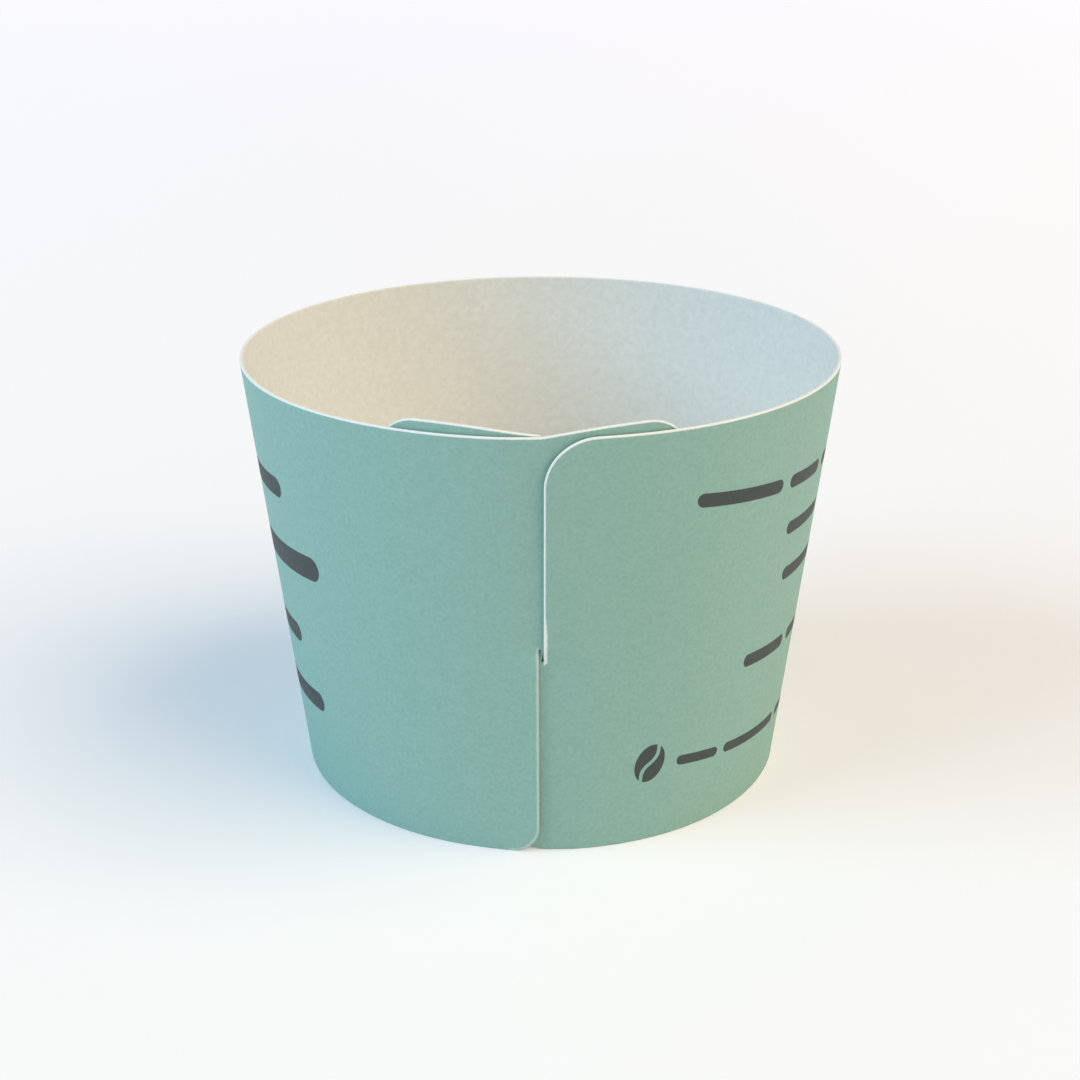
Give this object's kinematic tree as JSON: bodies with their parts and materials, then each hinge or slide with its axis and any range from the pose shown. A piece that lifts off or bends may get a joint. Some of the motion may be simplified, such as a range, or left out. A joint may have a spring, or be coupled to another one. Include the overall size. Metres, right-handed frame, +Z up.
{
  "type": "coffee cup sleeve",
  "caption": "Open conical sleeve of die-cut card that wraps a hot paper cup, closed at a front seam by interlocking slits with tucked-in tabs.",
  "frame": {"origin": "centre of the bounding box at the bottom edge, on the cone's axis", "axes": "+Z up along the cone's axis towards the wide top edge, seam on the -Y side"},
  "size_m": [0.0814, 0.0816, 0.0604],
  "materials": {
    "card_sleeve": "matte mint print on white board, white cut edges, plain white inside"
  },
  "bodies": {
    "root": {"card_sleeve": "card_sleeve"}
  },
  "joints": []
}
